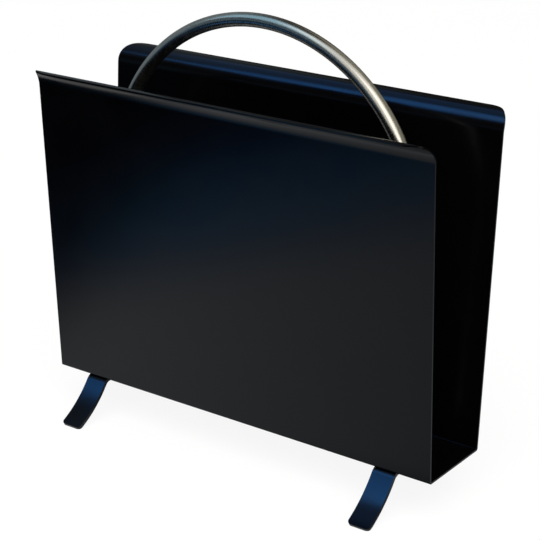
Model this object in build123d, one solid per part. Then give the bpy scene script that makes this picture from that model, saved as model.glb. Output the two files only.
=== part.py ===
from build123d import *
import os
from math import cos, degrees, radians, sin, tan

# Folded sheet body. Lengths are in millimetres and angles in degrees.
BODY_WIDTH = 380.0  # along X, from one open end to the other
FLOOR_DEPTH = 74.0  # along Y, where the outer wall faces meet the underside
RIM_HEIGHT = 275.0  # from the underside of the floor to the top of the lips
SHEET = 1.5
WALL_LEAN = 3.0  # outwards, each wall
FLOOR_BEND_RADIUS = 0.5  # inside of the two floor bends
LIP_ROLL_RADIUS = 15.0  # hollow underside of the rolled lips
LIP_TURN = 95.0  # from the wall round to the free edge of the lip
LIP_CORNER_RADIUS = 23.0  # on the flat blank, before the lip is rolled
LIP_STATIONS = 10  # sections along the rounded ends of a lip

# Arched tube handle that stands on the floor
LEG_INSET = 41.6  # from an open end of the body to the leg's axis
HANDLE_HEIGHT = 333.0  # from the floor to the top of the arch
TUBE_DIAMETER = 11.5
TUBE_WALL = 1.25
INSERT_LENGTH = 20.0
INSERT_CLEARANCE = 0.05  # radial, insert in the tube

# Bent straps that are the feet
GROUND_CLEARANCE = 35.0  # from the ground to the underside of the floor
STRAP_WIDTH = 20.0
STRAP_THICKNESS = 3.0
STRAP_SETBACK = 5.3  # from the floor's outer edge to the strap's first bend
STRAP_BEND_RADIUS = 6.0  # inside of the first bend
STRAP_DROP = 54.0  # slope of the leg below the first bend
STRAP_TIP = 26.0  # slope of the leg at its tip
STRAP_CORNER_RADIUS = 4.0
FOOT_FLAT_DEPTH = 0.8  # ground off the lowest edge of each tip

# Screw and washers that clamp a strap, the floor and a handle leg together
SCREW_DIAMETER = 5.0
SCREW_LENGTH = 16.0
SCREW_HEAD_DIAMETER = 9.5
SCREW_HEAD_HEIGHT = 2.75
SCREW_HEAD_ROUND = 1.8
SCREW_POINT_CHAMFER = 0.5
HEX_KEY = 3.0
HEX_DEPTH = 1.6
SCREW_HOLE_CLEARANCE = 0.25  # radial, screw in the floor and strap
THREAD_CLEARANCE = 0.05  # radial, screw in the insert
WASHER_CLEARANCE = 0.15  # radial, screw in both washers
FLAT_WASHER_DIAMETER = 10.0
FLAT_WASHER_THICKNESS = 1.0
SPRING_WASHER_DIAMETER = 9.2
SPRING_WASHER_THICKNESS = 1.2
SPRING_WASHER_SLIT = 1.0

# Rivets that keep each strap square to the body
RIVET_SPACING = 36.0  # along Y, one each side of the screw
RIVET_DIAMETER = 4.0
RIVET_HEAD_DIAMETER = 7.5
RIVET_HEAD_HEIGHT = 1.8
RIVET_TAIL_DIAMETER = 6.0
RIVET_TAIL_HEIGHT = 1.5
RIVET_HOLE_CLEARANCE = 0.05  # radial

ROUND_LIMIT = 0.9  # the most of a wall that a rounded edge takes

# Levels and places that follow from the sizes above
floor_bottom = GROUND_CLEARANCE
floor_top = floor_bottom + SHEET
strap_bottom = floor_bottom - STRAP_THICKNESS
flat_washer_bottom = strap_bottom - FLAT_WASHER_THICKNESS
screw_seat = flat_washer_bottom - SPRING_WASHER_THICKNESS
leg_place = BODY_WIDTH / 2 - LEG_INSET
lip_radius = LIP_ROLL_RADIUS + SHEET / 2
lip_length = lip_radius * radians(LIP_TURN)
lip_corner = min(LIP_CORNER_RADIUS, lip_length)


def hole(x, y, radius):
    """Drill that passes right through the floor and the strap below it."""
    depth = SHEET + STRAP_THICKNESS
    return Pos(x, y, strap_bottom + depth / 2) * Cylinder(radius, 2 * depth)


def fixing_holes():
    """Screw and rivet holes, alike in the floor and in the straps."""
    holes = []
    for x in (-leg_place, leg_place):
        holes.append(hole(x, 0, SCREW_DIAMETER / 2 + SCREW_HOLE_CLEARANCE))
        for y in (-RIVET_SPACING / 2, RIVET_SPACING / 2):
            holes.append(hole(x, y, RIVET_DIAMETER / 2 + RIVET_HOLE_CLEARANCE))
    return holes


def section_and_mirror(middle, run, thickness):
    """Section of a bent strip in the YZ plane: a flat middle and a run of bends at each side."""
    lines = Curve() + [middle, *run, *(mirror(edge, about=Plane.YZ) for edge in run)]
    return Plane.YZ * trace(lines, thickness)


def lip_end(wall, root_turn):
    """Free run of the rear lip, narrowing round the corners of the rolled blank."""
    stations = []
    for step in range(LIP_STATIONS + 1):
        around = radians(90 * step / LIP_STATIONS)
        turn = root_turn + degrees(lip_corner * sin(around) / lip_radius)
        width = BODY_WIDTH - 2 * lip_corner * (1 - cos(around))
        arc = JernArc(wall @ 1, wall % 1, lip_radius, -turn)
        place = Plane.YZ.from_local_coords(arc @ 1)
        along = Plane.YZ.from_local_coords(arc % 1)
        stations.append(Plane(place, x_dir=(1, 0, 0), z_dir=along) * Rectangle(width, SHEET))
    return loft(stations)


def folded_body():
    """One sheet: floor, two leaning walls and a lip rolled outwards along each wall."""
    outer_bend = FLOOR_BEND_RADIUS + SHEET
    floor_half = FLOOR_DEPTH / 2 - outer_bend * tan(radians(90 - WALL_LEAN) / 2)
    root_turn = degrees((lip_length - lip_corner) / lip_radius)
    lip_rise = (lip_radius + SHEET / 2) * sin(radians(min(90, WALL_LEAN + LIP_TURN)))
    wall_top = RIM_HEIGHT - lip_rise + lip_radius * sin(radians(WALL_LEAN))
    floor = Line((-floor_half, SHEET / 2), (floor_half, SHEET / 2))
    bend = JernArc(floor @ 1, floor % 1, FLOOR_BEND_RADIUS + SHEET / 2, 90 - WALL_LEAN)
    wall_length = (wall_top - (bend @ 1).Y) / cos(radians(WALL_LEAN))
    wall = PolarLine(bend @ 1, wall_length, direction=bend % 1)
    run = [bend, wall]
    if root_turn > 0:
        run.append(JernArc(wall @ 1, wall % 1, lip_radius, -root_turn))
    body = extrude(section_and_mirror(floor, run, SHEET), BODY_WIDTH / 2, both=True)
    lip = lip_end(wall, root_turn)
    body = body + lip + mirror(lip, about=Plane.XZ)
    return Pos(0, 0, floor_bottom) * body - fixing_holes()


def handle_tube():
    """Tube bent to a half circle, with two straight legs down to the floor."""
    shoulder = HANDLE_HEIGHT - TUBE_DIAMETER / 2 - leg_place
    left = Line((-leg_place, 0), (-leg_place, shoulder))
    arch = JernArc(left @ 1, left % 1, leg_place, -180)
    right = Line(arch @ 1, (leg_place, 0))
    path = Pos(0, 0, floor_top) * (Plane.XZ * (Curve() + [left, arch, right]))
    foot = Plane((-leg_place, 0, floor_top))
    outside = sweep(foot * Circle(TUBE_DIAMETER / 2), path=path)
    bore = sweep(foot * Circle(TUBE_DIAMETER / 2 - TUBE_WALL), path=path)
    return outside - bore


def handle_insert(x):
    """Threaded plug pressed into the foot of a handle leg."""
    radius = TUBE_DIAMETER / 2 - TUBE_WALL - INSERT_CLEARANCE
    plug = Cylinder(radius, INSERT_LENGTH)
    plug -= Cylinder(SCREW_DIAMETER / 2 + THREAD_CLEARANCE, INSERT_LENGTH)
    return Pos(x, 0, floor_top + INSERT_LENGTH / 2) * plug


def foot_strap(x):
    """Flat bar under the floor, bent down at both ends and curving out to its tips."""
    middle_level = -STRAP_THICKNESS / 2
    bend_radius = STRAP_BEND_RADIUS + STRAP_THICKNESS / 2
    tip_level = -GROUND_CLEARANCE - FOOT_FLAT_DEPTH + STRAP_THICKNESS / 2 * cos(radians(STRAP_TIP))
    bend_level = middle_level - bend_radius * (1 - cos(radians(STRAP_DROP)))
    sweep_out = cos(radians(STRAP_TIP)) - cos(radians(STRAP_DROP))
    curve_radius = (bend_level - tip_level) / sweep_out
    flat_half = FLOOR_DEPTH / 2 - STRAP_SETBACK
    flat = Line((-flat_half, middle_level), (flat_half, middle_level))
    bend = JernArc(flat @ 1, flat % 1, bend_radius, -STRAP_DROP)
    curve = JernArc(bend @ 1, bend % 1, curve_radius, STRAP_DROP - STRAP_TIP)
    strap = extrude(section_and_mirror(flat, [bend, curve], STRAP_THICKNESS), STRAP_WIDTH / 2, both=True)
    ends = strap.faces().sort_by(Axis.Y)
    corners = [edge for end in (ends[0], ends[-1]) for edge in end.edges().sort_by(Edge.length)[:2]]
    strap = fillet(corners, min(STRAP_CORNER_RADIUS, ROUND_LIMIT * STRAP_WIDTH / 2))
    strap = split(Pos(x, 0, floor_bottom) * strap, bisect_by=Plane.XY)
    return strap - fixing_holes()


def ring(outer_diameter, thickness):
    """Washer blank that passes the screw, lying on the XY plane."""
    face = Circle(outer_diameter / 2) - Circle(SCREW_DIAMETER / 2 + WASHER_CLEARANCE)
    return extrude(face, thickness)


def flat_washer(x):
    """Plain washer under the strap."""
    return Pos(x, 0, flat_washer_bottom) * ring(FLAT_WASHER_DIAMETER, FLAT_WASHER_THICKNESS)


def spring_washer(x):
    """Split washer, pressed flat between the plain washer and the screw head."""
    slit = Pos(SPRING_WASHER_DIAMETER / 2, 0, SPRING_WASHER_THICKNESS / 2)
    slit *= Box(SPRING_WASHER_DIAMETER, SPRING_WASHER_SLIT, 2 * SPRING_WASHER_THICKNESS)
    return Pos(x, 0, screw_seat) * (ring(SPRING_WASHER_DIAMETER, SPRING_WASHER_THICKNESS) - slit)


def handle_screw(x):
    """Button-head screw, driven upwards into the leg's insert."""
    head = extrude(Circle(SCREW_HEAD_DIAMETER / 2), -SCREW_HEAD_HEIGHT)
    most_round = ROUND_LIMIT * min(SCREW_HEAD_HEIGHT, SCREW_HEAD_DIAMETER / 2)
    head = fillet(head.edges().sort_by(Axis.Z)[0], min(SCREW_HEAD_ROUND, most_round))
    shank = extrude(Circle(SCREW_DIAMETER / 2), SCREW_LENGTH)
    shank = chamfer(shank.edges().sort_by(Axis.Z)[-1], SCREW_POINT_CHAMFER)
    socket = RegularPolygon(HEX_KEY / 2, 6, major_radius=False)
    socket = Pos(0, 0, -SCREW_HEAD_HEIGHT) * extrude(socket, HEX_DEPTH)
    return Pos(x, 0, screw_seat) * (head + shank - socket)


def strap_rivet(x, y):
    """Rivet with its domed head inside the body and its set tail under the strap."""
    shank_radius = RIVET_DIAMETER / 2
    head_radius = RIVET_HEAD_DIAMETER / 2
    dome_radius = (head_radius**2 + RIVET_HEAD_HEIGHT**2) / (2 * RIVET_HEAD_HEIGHT)
    shank = Pos(0, 0, strap_bottom) * extrude(Circle(shank_radius), SHEET + STRAP_THICKNESS)
    dome = Pos(0, 0, floor_top + RIVET_HEAD_HEIGHT - dome_radius) * Sphere(dome_radius)
    dome &= Pos(0, 0, floor_top) * extrude(Circle(head_radius), RIVET_HEAD_HEIGHT)
    tail = Pos(0, 0, strap_bottom) * extrude(Circle(RIVET_TAIL_DIAMETER / 2), -RIVET_TAIL_HEIGHT)
    tail = fillet(tail.edges().sort_by(Axis.Z)[0], RIVET_TAIL_HEIGHT / 2)
    return Pos(x, y, 0) * (dome + shank + tail)


parts = {"folded_body": folded_body(), "handle_tube": handle_tube()}
for side, x in (("left", -leg_place), ("right", leg_place)):
    parts[f"foot_strap_{side}"] = foot_strap(x)
    parts[f"handle_insert_{side}"] = handle_insert(x)
    parts[f"handle_screw_{side}"] = handle_screw(x)
    parts[f"flat_washer_{side}"] = flat_washer(x)
    parts[f"spring_washer_{side}"] = spring_washer(x)
    for end, y in (("front", -RIVET_SPACING / 2), ("rear", RIVET_SPACING / 2)):
        parts[f"strap_rivet_{side}_{end}"] = strap_rivet(x, y)

os.makedirs("parts", exist_ok=True)
for name, shape in parts.items():
    export_step(shape, f"parts/{name}.step")
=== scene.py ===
"""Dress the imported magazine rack: folded enamelled body, tube handle, strap feet and their fixings."""
import math
import bmesh
import bpy
from mathutils import Matrix, Vector


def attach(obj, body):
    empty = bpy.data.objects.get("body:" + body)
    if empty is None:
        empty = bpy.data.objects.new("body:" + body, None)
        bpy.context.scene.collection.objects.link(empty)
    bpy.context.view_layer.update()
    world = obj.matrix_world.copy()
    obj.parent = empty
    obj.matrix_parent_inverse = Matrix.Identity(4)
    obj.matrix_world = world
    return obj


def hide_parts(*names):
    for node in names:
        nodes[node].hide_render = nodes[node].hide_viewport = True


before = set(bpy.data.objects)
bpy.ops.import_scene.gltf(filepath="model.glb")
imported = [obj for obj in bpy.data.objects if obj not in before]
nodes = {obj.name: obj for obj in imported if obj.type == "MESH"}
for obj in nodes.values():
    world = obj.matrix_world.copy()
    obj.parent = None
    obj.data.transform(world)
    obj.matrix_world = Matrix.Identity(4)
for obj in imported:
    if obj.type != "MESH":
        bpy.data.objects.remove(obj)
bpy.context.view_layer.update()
scene = bpy.context.scene
scene.view_settings.view_transform = "Standard"

# Sizes in metres, as the solids have them
MM = 0.001
BODY_HALF_WIDTH = 190 * MM
SHEET = 1.5 * MM
FLOOR_MID_HEIGHT = 35.75 * MM
FLOOR_FLAT = 35.102 * MM
FLOOR_BEND_RADIUS = 1.25 * MM
FLOOR_BEND_TURN = 87
WALL_FLAT = 257.74 * MM
LIP_RADIUS = 15.75 * MM
LIP_TURN = 95
LIP_CORNER = 23 * MM
LEG_PLACE = 148.4 * MM
LEG_FOOT = 36.5 * MM
ARCH_CENTRE = 215.35 * MM
TUBE_RADIUS = 5.75 * MM
TUBE_WALL = 1.25 * MM
STRAP_HALF_WIDTH = 10 * MM
STRAP = 3 * MM
STRAP_MID_HEIGHT = 33.5 * MM
STRAP_FLAT = 31.7 * MM
STRAP_BEND_RADIUS = 7.5 * MM
STRAP_DROP = 54
STRAP_CURVE_RADIUS = 96.011 * MM
STRAP_CURVE_TURN = 28
STRAP_CORNER = 4 * MM
BODY_EDGE = 0.6 * MM
STRAP_EDGE = 0.4 * MM
TUBE_EDGE = 0.2 * MM

# How finely the curves are stepped, and how near a cut or fold has to be
FLOOR_BEND_STEPS = 14
LIP_STEPS = 32
STRAP_BEND_STEPS = 18
STRAP_CURVE_STEPS = 24
CORNER_STEPS = 20
TUBE_SIDES = 48
ARCH_STEPS = 120
EDGE_STEPS = 3
SHARP_ANGLE = 50
CUT_NEAR = 1e-7
FOLD_NEAR = 1e-6

# Stage in metres
FLOOR_HALF = 20
BACKDROP_RADIUS = 18
BACKDROP_HEIGHT = 36
BLUE_CARD_HEIGHT = 0.002
WHITE_CARD_HALF = (0.11, 0.12)
WHITE_CARD_PLACE = (-0.411, -0.001, 0.004)
WHITE_CARD_TURN = 46
LAMP_AIM = (0, 0, 0.2)


# Materials

def linear(hex_colour):
    """Turn an sRGB hex value into a linear colour with alpha."""
    channels = [int(hex_colour[i:i + 2], 16) / 255 for i in (1, 3, 5)]
    return [c / 12.92 if c <= 0.04045 else ((c + 0.055) / 1.055) ** 2.4 for c in channels] + [1.0]


def add_node(tree, kind, inputs, **settings):
    """Add a node with its settings, then set or link each of its inputs."""
    node = tree.nodes.new(kind)
    for name, value in settings.items():
        setattr(node, name, value)
    for name, value in inputs.items():
        if isinstance(value, bpy.types.NodeSocket):
            tree.links.new(value, node.inputs[name])
        else:
            node.inputs[name].default_value = value
    return node


def bare_material(name):
    """Start a node material and give back its tree and its output node."""
    material = bpy.data.materials.new(name)
    material.use_nodes = True
    tree = material.node_tree
    tree.nodes.clear()
    output = tree.nodes.new("ShaderNodeOutputMaterial")
    return material, tree, output


def stove_enamel():
    """Black stove enamel, sprayed on steel sheet and baked: deep black with a soft gloss, a faint orange
    peel, sheet that is not dead flat, and a sheen that handling has dulled in patches."""
    material, tree, output = bare_material("black_stove_enamel")
    place = add_node(tree, "ShaderNodeTexCoord", {}).outputs["Object"]
    # Orange peel is about 3 mm from crest to crest, the sheet's slow waves 140 mm, the dulled patches 45 mm
    peel = add_node(tree, "ShaderNodeTexNoise", {"Vector": place, "Scale": 1 / (3 * MM), "Detail": 1.0})
    waves = add_node(tree, "ShaderNodeTexNoise", {"Vector": place, "Scale": 1 / (140 * MM), "Detail": 0.0})
    smudge = add_node(tree, "ShaderNodeTexNoise", {"Vector": place, "Scale": 1 / (45 * MM), "Detail": 4.0})
    gloss = add_node(tree, "ShaderNodeMapRange", {
        "Value": smudge.outputs["Fac"], "From Min": 0.35, "From Max": 0.7, "To Min": 0.17, "To Max": 0.23})
    tone = add_node(tree, "ShaderNodeMix", {
        "Factor": smudge.outputs["Fac"], "A": linear("#010102"), "B": linear("#040405")}, data_type="RGBA")
    wavy = add_node(tree, "ShaderNodeBump", {
        "Height": waves.outputs["Fac"], "Strength": 1.0, "Distance": 0.10 * MM})
    peeled = add_node(tree, "ShaderNodeBump", {
        "Height": peel.outputs["Fac"], "Strength": 1.0, "Distance": 0.004 * MM,
        "Normal": wavy.outputs["Normal"]})
    surface = add_node(tree, "ShaderNodeBsdfPrincipled", {
        "Base Color": tone.outputs["Result"], "Roughness": gloss.outputs["Result"], "IOR": 1.5,
        "Specular IOR Level": 0.19, "Normal": peeled.outputs["Normal"]})
    tree.links.new(surface.outputs["BSDF"], output.inputs["Surface"])
    return material


def satin_stainless():
    """Stainless steel tube, ground round and round and lightly polished: a satin glow drawn out along the
    tube, with fine rings left by the belt."""
    material, tree, output = bare_material("satin_stainless_steel")
    place = add_node(tree, "ShaderNodeTexCoord", {}).outputs["Object"]
    along = add_node(tree, "ShaderNodeAttribute", {}, attribute_name="along")
    # The belt's rings are 0.1 mm apart and would not show, so they are drawn 0.7 mm apart
    rings = add_node(tree, "ShaderNodeTexNoise", {
        "W": along.outputs["Fac"], "Scale": 1 / (0.7 * MM), "Detail": 2.0}, noise_dimensions="1D")
    patches = add_node(tree, "ShaderNodeTexNoise", {"Vector": place, "Scale": 1 / (12 * MM), "Detail": 3.0})
    mixed = add_node(tree, "ShaderNodeMath", {0: rings.outputs["Fac"], 1: patches.outputs["Fac"]},
                     operation="MULTIPLY")
    gloss = add_node(tree, "ShaderNodeMapRange", {
        "Value": mixed.outputs["Value"], "From Min": 0.1, "From Max": 0.5, "To Min": 0.22, "To Max": 0.34})
    tone = add_node(tree, "ShaderNodeMix", {
        "Factor": patches.outputs["Fac"], "A": linear("#B7B4AD"), "B": linear("#C9C6C0")}, data_type="RGBA")
    bump = add_node(tree, "ShaderNodeBump", {
        "Height": rings.outputs["Fac"], "Strength": 0.2, "Distance": 0.0015 * MM})
    surface = add_node(tree, "ShaderNodeBsdfPrincipled", {
        "Base Color": tone.outputs["Result"], "Metallic": 1.0, "Roughness": gloss.outputs["Result"],
        "Normal": bump.outputs["Normal"]})
    tree.links.new(surface.outputs["BSDF"], output.inputs["Surface"])
    return material


def zinc_plate():
    """Steel fixings, barrel plated with zinc and passivated: a pale bluish metal, mottled and half dull."""
    material, tree, output = bare_material("passivated_zinc_plate")
    place = add_node(tree, "ShaderNodeTexCoord", {}).outputs["Object"]
    mottle = add_node(tree, "ShaderNodeTexNoise", {"Vector": place, "Scale": 1 / (1.5 * MM), "Detail": 4.0})
    gloss = add_node(tree, "ShaderNodeMapRange", {
        "Value": mottle.outputs["Fac"], "From Min": 0.3, "From Max": 0.7, "To Min": 0.3, "To Max": 0.48})
    tone = add_node(tree, "ShaderNodeMix", {
        "Factor": mottle.outputs["Fac"], "A": linear("#B4BABF"), "B": linear("#D3D3CB")}, data_type="RGBA")
    surface = add_node(tree, "ShaderNodeBsdfPrincipled", {
        "Base Color": tone.outputs["Result"], "Metallic": 1.0, "Roughness": gloss.outputs["Result"]})
    tree.links.new(surface.outputs["BSDF"], output.inputs["Surface"])
    return material


enamel = stove_enamel()
stainless = satin_stainless()
zinc = zinc_plate()


# Pieces

def finish_piece(name, mesh, material, replaced):
    """Put a mesh in the scene as a piece of the rack that stands for its solid."""
    piece = bpy.data.objects.new(name, mesh)
    scene.collection.objects.link(piece)
    mesh.materials.append(material)
    mesh.shade_smooth()
    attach(piece, "root")
    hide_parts(replaced)
    return piece


def soften_edges(piece, width):
    """Round the cut edges a little, as deburring and enamel leave them, and keep the flats flat."""
    bevel = piece.modifiers.new("deburred", "BEVEL")
    bevel.width = width
    bevel.segments = EDGE_STEPS
    bevel.limit_method = "ANGLE"
    bevel.angle_limit = math.radians(SHARP_ANGLE)
    bevel.profile = 0.5
    bevel.miter_outer = "MITER_ARC"
    piece.modifiers.new("flat_faces", "WEIGHTED_NORMAL").keep_sharp = True


def of_kind(parts, kind):
    """Pick the vertices or the edges out of a list of mesh parts."""
    return [part for part in parts if isinstance(part, kind)]


def folded_sheet(name, half_width, corner, flat, bends, thickness, height):
    """Fold a flat blank with rounded corners alike on both sides, then give it its thickness.
    flat is half the middle flat. A bend is its length, turn in degrees, steps and the flat after it."""
    half_length = flat + sum(length + after for length, turn, steps, after in bends)
    bm = bmesh.new()
    bmesh.ops.create_grid(bm, x_segments=1, y_segments=1, size=1.0)
    bmesh.ops.scale(bm, vec=(half_width, half_length, 1.0), verts=bm.verts)
    bmesh.ops.bevel(bm, geom=bm.verts[:], offset=corner, affect="VERTICES", segments=CORNER_STEPS,
                    profile=0.5, material=-1)
    stations = []
    reach = flat
    for length, turn, steps, after in bends:
        for step in range(steps + 1):
            share = 0.5 if step in (0, steps) else 1.0
            stations.append((reach + length * step / steps, math.radians(turn) / steps * share))
        reach += length + after
    for side in (-1, 1):
        for place, turn in stations:
            bmesh.ops.bisect_plane(bm, geom=bm.verts[:] + bm.edges[:] + bm.faces[:], dist=CUT_NEAR,
                                   plane_co=(0, side * place, 0), plane_no=(0, 1, 0))
    blank = {vert: vert.co.y for vert in bm.verts}
    for side in (-1, 1):
        for place, turn in reversed(stations):
            beyond = [vert for vert in bm.verts if side * blank[vert] > place + FOLD_NEAR]
            fold = Matrix.Rotation(side * turn, 3, "X")
            bmesh.ops.rotate(bm, verts=beyond, cent=(0, side * place, 0), matrix=fold)
    bmesh.ops.translate(bm, verts=bm.verts, vec=(0, 0, height))
    mesh = bpy.data.meshes.new(name)
    bm.to_mesh(mesh)
    bm.free()
    sheet = bpy.data.objects.new(name, mesh)
    scene.collection.objects.link(sheet)
    solid = sheet.modifiers.new("thickness", "SOLIDIFY")
    solid.thickness = thickness
    solid.offset = 0.0
    solid.use_even_offset = True
    folded = bpy.data.meshes.new_from_object(sheet.evaluated_get(bpy.context.evaluated_depsgraph_get()))
    bpy.data.objects.remove(sheet)
    folded.name = name
    return folded


def folded_body():
    """The body: floor, two leaning walls and two lips rolled outwards, from one sheet."""
    floor_bend = FLOOR_BEND_RADIUS * math.radians(FLOOR_BEND_TURN)
    lip = LIP_RADIUS * math.radians(LIP_TURN)
    bends = [(floor_bend, FLOOR_BEND_TURN, FLOOR_BEND_STEPS, WALL_FLAT), (lip, -LIP_TURN, LIP_STEPS, 0.0)]
    mesh = folded_sheet("body_sheet", BODY_HALF_WIDTH, LIP_CORNER, FLOOR_FLAT, bends, SHEET,
                        FLOOR_MID_HEIGHT)
    piece = finish_piece("body_sheet", mesh, enamel, "folded_body")
    soften_edges(piece, BODY_EDGE)
    return piece


def foot_strap(side, place):
    """A foot: a flat bar that drops steeply from under the floor, curves out and stands on ground tips."""
    bend = STRAP_BEND_RADIUS * math.radians(STRAP_DROP)
    curve = STRAP_CURVE_RADIUS * math.radians(STRAP_CURVE_TURN)
    bends = [(bend, -STRAP_DROP, STRAP_BEND_STEPS, 0.0), (curve, STRAP_CURVE_TURN, STRAP_CURVE_STEPS, 0.0)]
    mesh = folded_sheet("strap_" + side, STRAP_HALF_WIDTH, STRAP_CORNER, STRAP_FLAT, bends, STRAP,
                        STRAP_MID_HEIGHT)
    bm = bmesh.new()
    bm.from_mesh(mesh)
    cut = bmesh.ops.bisect_plane(bm, geom=bm.verts[:] + bm.edges[:] + bm.faces[:], dist=CUT_NEAR,
                                 plane_co=(0, 0, 0), plane_no=(0, 0, 1), clear_inner=True)
    bmesh.ops.edgenet_fill(bm, edges=of_kind(cut["geom_cut"], bmesh.types.BMEdge))
    bmesh.ops.translate(bm, verts=bm.verts, vec=(place, 0, 0))
    bmesh.ops.recalc_face_normals(bm, faces=bm.faces)
    bm.to_mesh(mesh)
    bm.free()
    piece = finish_piece("strap_" + side, mesh, enamel, "foot_strap_" + side)
    soften_edges(piece, STRAP_EDGE)
    return piece


def arched_handle():
    """The handle: a tube with two straight legs and a half circle between them."""
    bm = bmesh.new()
    level = Matrix.Translation((-LEG_PLACE, 0, LEG_FOOT))
    for radius in (TUBE_RADIUS, TUBE_RADIUS - TUBE_WALL):
        bmesh.ops.create_circle(bm, segments=TUBE_SIDES, radius=radius, matrix=level)
    left_rims = bm.edges[:]
    left_leg = bmesh.ops.extrude_edge_only(bm, edges=left_rims)["geom"]
    bmesh.ops.translate(bm, verts=of_kind(left_leg, bmesh.types.BMVert), vec=(0, 0, ARCH_CENTRE - LEG_FOOT))
    arch = bmesh.ops.spin(bm, geom=of_kind(left_leg, bmesh.types.BMEdge), cent=(0, 0, ARCH_CENTRE),
                          axis=(0, 1, 0), angle=math.pi, steps=ARCH_STEPS, use_merge=False)["geom_last"]
    right_leg = bmesh.ops.extrude_edge_only(bm, edges=of_kind(arch, bmesh.types.BMEdge))["geom"]
    bmesh.ops.translate(bm, verts=of_kind(right_leg, bmesh.types.BMVert), vec=(0, 0, LEG_FOOT - ARCH_CENTRE))
    bmesh.ops.bridge_loops(bm, edges=left_rims)
    bmesh.ops.bridge_loops(bm, edges=of_kind(right_leg, bmesh.types.BMEdge))
    bmesh.ops.recalc_face_normals(bm, faces=bm.faces)
    along = bm.verts.layers.float.new("along")
    for vert in bm.verts:
        rise = vert.co.z - ARCH_CENTRE
        if rise > 0:
            vert[along] = math.atan2(rise, -vert.co.x) * LEG_PLACE
        else:
            vert[along] = rise if vert.co.x < 0 else math.pi * LEG_PLACE - rise
    mesh = bpy.data.meshes.new("handle_arch")
    bm.to_mesh(mesh)
    bm.free()
    piece = finish_piece("handle_arch", mesh, stainless, "handle_tube")
    soften_edges(piece, TUBE_EDGE)
    return piece


body = folded_body()
handle = arched_handle()
straps = [foot_strap("left", -LEG_PLACE), foot_strap("right", LEG_PLACE)]
for name, node in nodes.items():
    if name.startswith("strap_rivet"):
        node.data.materials[0] = enamel
    elif not node.hide_render:
        node.data.materials[0] = zinc


# Camera, from the solved view of the photograph

def set_camera(azimuth, elevation, roll, distance, target, lens):
    """Set the camera round the target. Azimuth 0 looks along +Y, and angles are in degrees."""
    turn, rise, tip = math.radians(azimuth), math.radians(elevation), math.radians(roll)
    back = Vector((math.sin(turn) * math.cos(rise), -math.cos(turn) * math.cos(rise), math.sin(rise)))
    right = Vector((math.cos(turn), math.sin(turn), 0))
    up = back.cross(right)
    across = math.cos(tip) * right + math.sin(tip) * up
    upright = math.cos(tip) * up - math.sin(tip) * right
    data = bpy.data.cameras.new("camera")
    data.lens = lens
    data.sensor_width = 36
    camera = bpy.data.objects.new("camera", data)
    camera.matrix_world = Matrix.Translation(Vector(target) + back * distance) @ Matrix(
        (across, upright, back)).transposed().to_4x4()
    scene.collection.objects.link(camera)
    scene.camera = camera


set_camera(azimuth=35.749, elevation=20.596, roll=0.402, distance=1.35146, target=(0.01087, 0, 0.15965),
           lens=110.49)


# Floor, reflection cards and studio light

def stage_piece(name, bm, material):
    """Put a shape in the scene that is not part of the rack."""
    mesh = bpy.data.meshes.new(name)
    bm.to_mesh(mesh)
    bm.free()
    mesh.materials.append(material)
    piece = bpy.data.objects.new(name, mesh)
    scene.collection.objects.link(piece)
    return piece


def stage_sheet(name, half_x, half_y, place, turn, material):
    """Lay a flat sheet on the stage."""
    bm = bmesh.new()
    bmesh.ops.create_grid(bm, x_segments=1, y_segments=1, size=1.0)
    bmesh.ops.scale(bm, vec=(half_x, half_y, 1.0), verts=bm.verts)
    sheet = stage_piece(name, bm, material)
    sheet.location = place
    sheet.rotation_euler = (0, 0, math.radians(turn))
    return sheet


def stage_backdrop(radius, height, material):
    """Stand a round backdrop about the stage, for the camera alone."""
    bm = bmesh.new()
    bmesh.ops.create_cone(bm, cap_ends=True, segments=64, radius1=radius, radius2=radius, depth=height)
    backdrop = stage_piece("backdrop", bm, material)
    backdrop.visible_diffuse = False
    backdrop.visible_glossy = False
    backdrop.visible_transmission = False
    backdrop.visible_shadow = False


def pale_floor():
    """Matt white paper. The camera and the gloss see a mostly plain white, and the rest keeps the shadow."""
    material, tree, output = bare_material("matt_white_paper")
    path = add_node(tree, "ShaderNodeLightPath", {})
    seen = add_node(tree, "ShaderNodeMath", {
        0: path.outputs["Is Camera Ray"], 1: path.outputs["Is Glossy Ray"]}, operation="ADD")
    seen = add_node(tree, "ShaderNodeMath", {
        0: seen.outputs["Value"], 1: path.outputs["Is Transmission Ray"]}, operation="ADD", use_clamp=True)
    share = add_node(tree, "ShaderNodeMath", {0: seen.outputs["Value"], 1: 0.9}, operation="MULTIPLY")
    paper = add_node(tree, "ShaderNodeBsdfDiffuse", {"Color": linear("#F2F2F2")})
    white = add_node(tree, "ShaderNodeEmission", {"Color": linear("#FFFFFF"), "Strength": 1.0})
    mixed = add_node(tree, "ShaderNodeMixShader", {
        "Fac": share.outputs["Value"], 1: paper.outputs["BSDF"], 2: white.outputs["Emission"]})
    tree.links.new(mixed.outputs["Shader"], output.inputs["Surface"])
    return material


def floor_fade(tree, place, bearing, stops):
    """Grade a colour over the floor, towards a bearing in degrees from +X, by stops of metres and colour."""
    turn = math.radians(bearing)
    near, far = stops[0][0], stops[-1][0]
    reach = add_node(tree, "ShaderNodeVectorMath", {0: place, 1: (math.cos(turn), math.sin(turn), 0)},
                     operation="DOT_PRODUCT")
    share = add_node(tree, "ShaderNodeMapRange", {
        "Value": reach.outputs["Value"], "From Min": near, "From Max": far})
    ramp = add_node(tree, "ShaderNodeValToRGB", {"Fac": share.outputs["Result"]})
    while len(ramp.color_ramp.elements) < len(stops):
        ramp.color_ramp.elements.new(1.0)
    for element, (metres, colour) in zip(ramp.color_ramp.elements, stops):
        element.position = (metres - near) / (far - near)
        element.color = linear(colour)
    return ramp.outputs["Color"]


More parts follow.
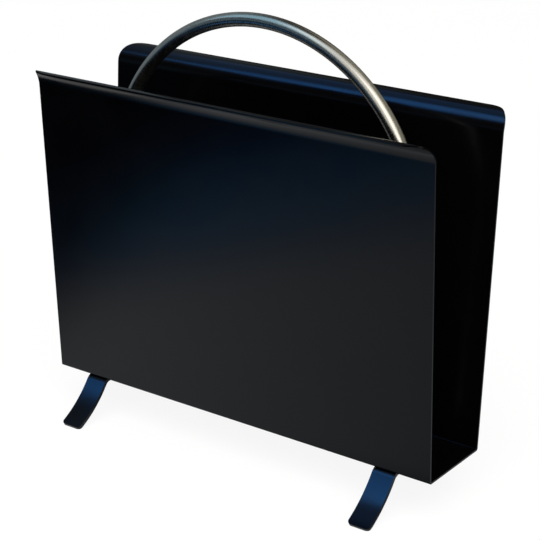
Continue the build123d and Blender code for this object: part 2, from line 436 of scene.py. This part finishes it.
def white_glow():
    """Plain white that needs no light, for the backdrop and for a card by the front lip's left end."""
    material, tree, output = bare_material("white_glow")
    glow = add_node(tree, "ShaderNodeEmission", {"Color": linear("#FFFFFF"), "Strength": 1.0})
    tree.links.new(glow.outputs["Emission"], output.inputs["Surface"])
    return material


def blue_card():
    """A card on the floor that goes from white through blue to black one way, dims across that way on both
    sides, and is grey by the rack's foot, a painted shadow of the rack on the floor."""
    material, tree, output = bare_material("blue_card")
    place = add_node(tree, "ShaderNodeTexCoord", {}).outputs["Object"]
    tint = floor_fade(tree, place, 220, [
        (0.32, "#F3F9FF"), (0.40, "#D1E0F4"), (0.46, "#8FBEF9"), (0.52, "#76BCF2"), (0.62, "#54A3E1"),
        (0.72, "#00348B"), (0.80, "#000000")])
    shade = floor_fade(tree, place, 160, [
        (-0.42, "#505050"), (-0.24, "#C0C0C0"), (-0.15, "#DCDCDC"), (0.05, "#F5F5F5"), (0.15, "#FFFFFF"),
        (0.20, "#F6F6F6"), (0.25, "#C0C0C0"), (0.30, "#616161"), (0.36, "#595959"), (0.45, "#000000")])
    # Painted shadow: grey by the rack's foot, where the rack's own shadow would fall on the floor
    painted_rack_shadow = floor_fade(tree, place, 263, [
        (-0.03, "#FFFFFF"), (0.00, "#A0A0A0"), (0.045, "#A0A0A0"), (0.078, "#FFFFFF")])
    for fade in (shade, painted_rack_shadow):
        tint = add_node(tree, "ShaderNodeMix", {"Factor": 1.0, "A": tint, "B": fade}, data_type="RGBA",
                        blend_type="MULTIPLY").outputs["Result"]
    glow = add_node(tree, "ShaderNodeEmission", {"Color": tint, "Strength": 1.0})
    tree.links.new(glow.outputs["Emission"], output.inputs["Surface"])
    return material


def soft_lamp(name, azimuth, elevation, distance, width, height, colour, radiance):
    """Hang a flat soft lamp that faces the rack, at angles in degrees and sizes in metres.
    Its radiance is what a mirror would show of it."""
    turn, rise = math.radians(azimuth), math.radians(elevation)
    towards = Vector((math.sin(turn) * math.cos(rise), -math.cos(turn) * math.cos(rise), math.sin(rise)))
    data = bpy.data.lights.new(name, "AREA")
    data.shape = "RECTANGLE"
    data.size = width
    data.size_y = height
    data.color = colour
    data.energy = radiance * math.pi * width * height
    lamp = bpy.data.objects.new(name, data)
    lamp.location = Vector(LAMP_AIM) + towards * distance
    lamp.rotation_euler = (-towards).to_track_quat("-Z", "Y").to_euler()
    scene.collection.objects.link(lamp)
    return lamp


def lights_only(source, pieces):
    """Keep the light of a lamp or a card to these pieces."""
    source.light_linking.receiver_collection = bpy.data.collections.new(source.name + "_lights")
    for piece in pieces:
        source.light_linking.receiver_collection.objects.link(piece)


stage_sheet("floor", FLOOR_HALF, FLOOR_HALF, (0, 0, 0), 0, pale_floor())
white = white_glow()
stage_backdrop(BACKDROP_RADIUS, BACKDROP_HEIGHT, white)
fade_card = stage_sheet("blue_card", FLOOR_HALF, FLOOR_HALF, (0, 0, BLUE_CARD_HEIGHT), 0, blue_card())
white_card = stage_sheet("white_card", *WHITE_CARD_HALF, WHITE_CARD_PLACE, WHITE_CARD_TURN, white)
for card in (fade_card, white_card):
    card.visible_camera = False
    card.visible_diffuse = False
    card.visible_shadow = False
lights_only(white_card, [body])

sky = bpy.data.objects.new("sky", bpy.data.lights.new("sky", "SUN"))
sky.data.energy = 3.0
sky.data.angle = math.radians(70)
sky.rotation_euler = (math.radians(25), math.radians(12), 0)
sky.visible_glossy = False
scene.collection.objects.link(sky)
soft_lamp("softbox", 36, 46, 1.8, 3.0, 2.8, (1.0, 0.98, 0.92), 0.85)
soft_lamp("softbox_core", 52, 38, 1.75, 1.2, 1.3, (1.0, 0.98, 0.93), 1.4)
soft_lamp("left_wall", -98, 20, 1.8, 3.0, 2.4, (0.7, 0.88, 1.0), 0.2)
soft_lamp("front_wall", -35, 5, 2.5, 2.5, 0.8, (0.3, 0.65, 1.0), 0.17)
soft_lamp("right_wall", 140, 45, 1.8, 3.0, 2.0, (1.0, 0.97, 0.75), 0.25)
handle_window = soft_lamp("handle_window", -42, 52, 1.8, 1.6, 1.4, (0.36, 0.72, 1.0), 0.72)
lip_window = soft_lamp("lip_window", -47, 53, 4.0, 1.4, 1.7, (0.06, 0.34, 1.0), 5.4)
blue_glow = soft_lamp("blue_glow", -85, 66, 4.1, 4.2, 2.2, (0.15, 0.41, 1.0), 1.05)
foot_window = soft_lamp("foot_window", -41, 41, 4.0, 1.5, 2.0, (0.06, 0.34, 1.0), 7.0)
for lamp, pieces in ((handle_window, [handle]), (lip_window, [body]), (blue_glow, [body, *straps]),
                     (foot_window, straps)):
    lights_only(lamp, pieces)
    lamp.visible_diffuse = False

world = bpy.data.worlds.new("dim_room")
world.use_nodes = True
world.node_tree.nodes["Background"].inputs["Color"].default_value = linear("#3C3B38")
scene.world = world
